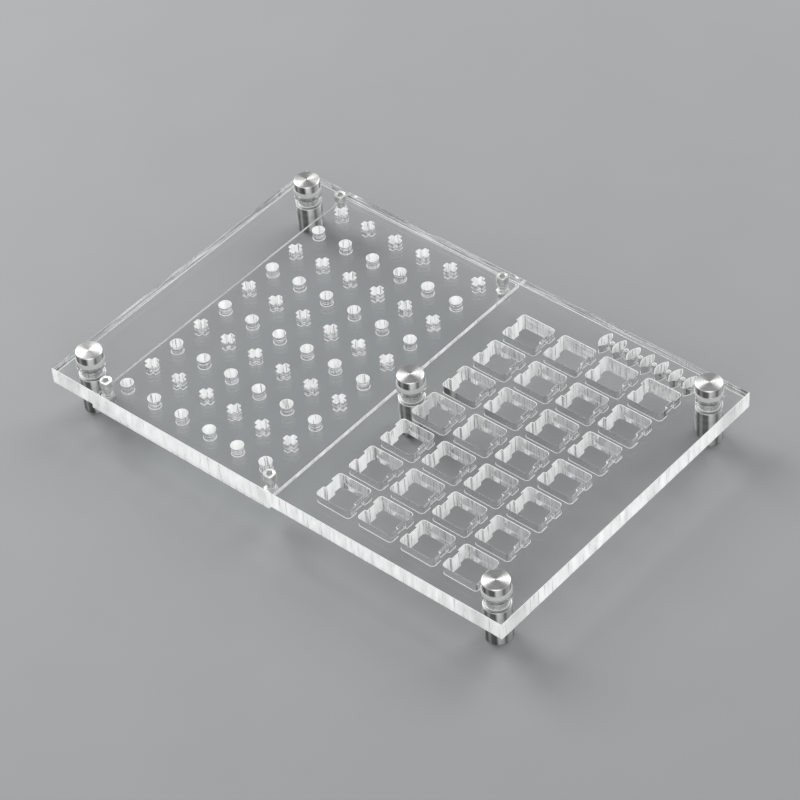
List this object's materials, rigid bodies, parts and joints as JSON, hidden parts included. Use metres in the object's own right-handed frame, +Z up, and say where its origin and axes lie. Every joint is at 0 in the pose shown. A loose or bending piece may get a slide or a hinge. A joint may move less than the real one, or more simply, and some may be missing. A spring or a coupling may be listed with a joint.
{
  "type": "keyboard switch lubricating tray",
  "caption": "Clear acrylic tray on turned standoff posts, with plus-shaped and round holes for keyboard-switch stems and springs and square windows for housings; the post caps unscrew.",
  "frame": {"origin": "on the surface the posts stand on, under the middle of the board", "axes": "+X along the board's long side, from the stem and spring holes towards the housing windows; +Y along its short side, towards the ornament; +Z up"},
  "size_m": [0.24, 0.16, 0.031],
  "materials": {
    "acrylic_board": "clear polished faces, white frosted laser-cut edges and hole walls",
    "acrylic_sheet": "clear polished faces, white frosted laser-cut edges",
    "post_metal": "turned, with fine concentric grooves on the end faces",
    "stud_metal": "bright threaded rod",
    "clear_washer": "clear, slightly cloudy",
    "frosted_ring": "translucent frosted white",
    "screw_metal": "plain stainless steel"
  },
  "bodies": {
    "base": {"main_board": "acrylic_board", "backing_sheet": "acrylic_sheet", "barrel_front_left": "post_metal", "lower_washer_front_left": "clear_washer", "upper_washer_front_left": "clear_washer", "barrel_front_right": "post_metal", "lower_washer_front_right": "clear_washer", "upper_washer_front_right": "clear_washer", "barrel_rear_right": "post_metal", "lower_washer_rear_right": "clear_washer", "upper_washer_rear_right": "clear_washer", "barrel_rear_left": "post_metal", "lower_washer_rear_left": "clear_washer", "upper_washer_rear_left": "clear_washer", "barrel_middle": "post_metal", "lower_washer_middle": "clear_washer", "upper_washer_middle": "clear_washer", "sheet_screw_front_left": "screw_metal", "sheet_nut_front_left": "screw_metal", "sheet_screw_front_right": "screw_metal", "sheet_nut_front_right": "screw_metal", "sheet_screw_rear_right": "screw_metal", "sheet_nut_rear_right": "screw_metal", "sheet_screw_rear_left": "screw_metal", "sheet_nut_rear_left": "screw_metal"},
    "lifting_front_left": {"ring_front_left": "frosted_ring"},
    "turning_front_left": {"cap_front_left": "post_metal", "stud_front_left": "stud_metal"},
    "lifting_front_right": {"ring_front_right": "frosted_ring"},
    "turning_front_right": {"cap_front_right": "post_metal", "stud_front_right": "stud_metal"},
    "lifting_rear_right": {"ring_rear_right": "frosted_ring"},
    "turning_rear_right": {"cap_rear_right": "post_metal", "stud_rear_right": "stud_metal"},
    "lifting_rear_left": {"ring_rear_left": "frosted_ring"},
    "turning_rear_left": {"cap_rear_left": "post_metal", "stud_rear_left": "stud_metal"},
    "lifting_middle": {"ring_middle": "frosted_ring"},
    "turning_middle": {"cap_middle": "post_metal", "stud_middle": "stud_metal"}
  },
  "joints": [
    {"name": "cap_lift_front_left", "type": "slide", "parent": "base", "child": "lifting_front_left", "axis": [0, 0, 1], "range_m": [0, 0.008]},
    {"name": "cap_turn_front_left", "type": "hinge", "parent": "lifting_front_left", "child": "turning_front_left", "pos_m": [-0.1083, -0.0683, 0.029], "axis": [0, 0, 1], "range_deg": [0, 2882]},
    {"name": "cap_lift_front_right", "type": "slide", "parent": "base", "child": "lifting_front_right", "axis": [0, 0, 1], "range_m": [0, 0.008]},
    {"name": "cap_turn_front_right", "type": "hinge", "parent": "lifting_front_right", "child": "turning_front_right", "pos_m": [0.1083, -0.0683, 0.029], "axis": [0, 0, 1], "range_deg": [0, 2882]},
    {"name": "cap_lift_rear_right", "type": "slide", "parent": "base", "child": "lifting_rear_right", "axis": [0, 0, 1], "range_m": [0, 0.008]},
    {"name": "cap_turn_rear_right", "type": "hinge", "parent": "lifting_rear_right", "child": "turning_rear_right", "pos_m": [0.1083, 0.0683, 0.029], "axis": [0, 0, 1], "range_deg": [0, 2882]},
    {"name": "cap_lift_rear_left", "type": "slide", "parent": "base", "child": "lifting_rear_left", "axis": [0, 0, 1], "range_m": [0, 0.008]},
    {"name": "cap_turn_rear_left", "type": "hinge", "parent": "lifting_rear_left", "child": "turning_rear_left", "pos_m": [-0.1083, 0.0683, 0.029], "axis": [0, 0, 1], "range_deg": [0, 2882]},
    {"name": "cap_lift_middle", "type": "slide", "parent": "base", "child": "lifting_middle", "axis": [0, 0, 1], "range_m": [0, 0.008]},
    {"name": "cap_turn_middle", "type": "hinge", "parent": "lifting_middle", "child": "turning_middle", "pos_m": [0.0083, 0, 0.029], "axis": [0, 0, 1], "range_deg": [0, 2882]}
  ],
  "couplings": [
    {"joint": "cap_turn_front_left", "follows": "cap_lift_front_left", "rad_per_m": 6283.2},
    {"joint": "cap_turn_front_right", "follows": "cap_lift_front_right", "rad_per_m": 6283.2},
    {"joint": "cap_turn_rear_right", "follows": "cap_lift_rear_right", "rad_per_m": 6283.2},
    {"joint": "cap_turn_rear_left", "follows": "cap_lift_rear_left", "rad_per_m": 6283.2},
    {"joint": "cap_turn_middle", "follows": "cap_lift_middle", "rad_per_m": 6283.2}
  ]
}
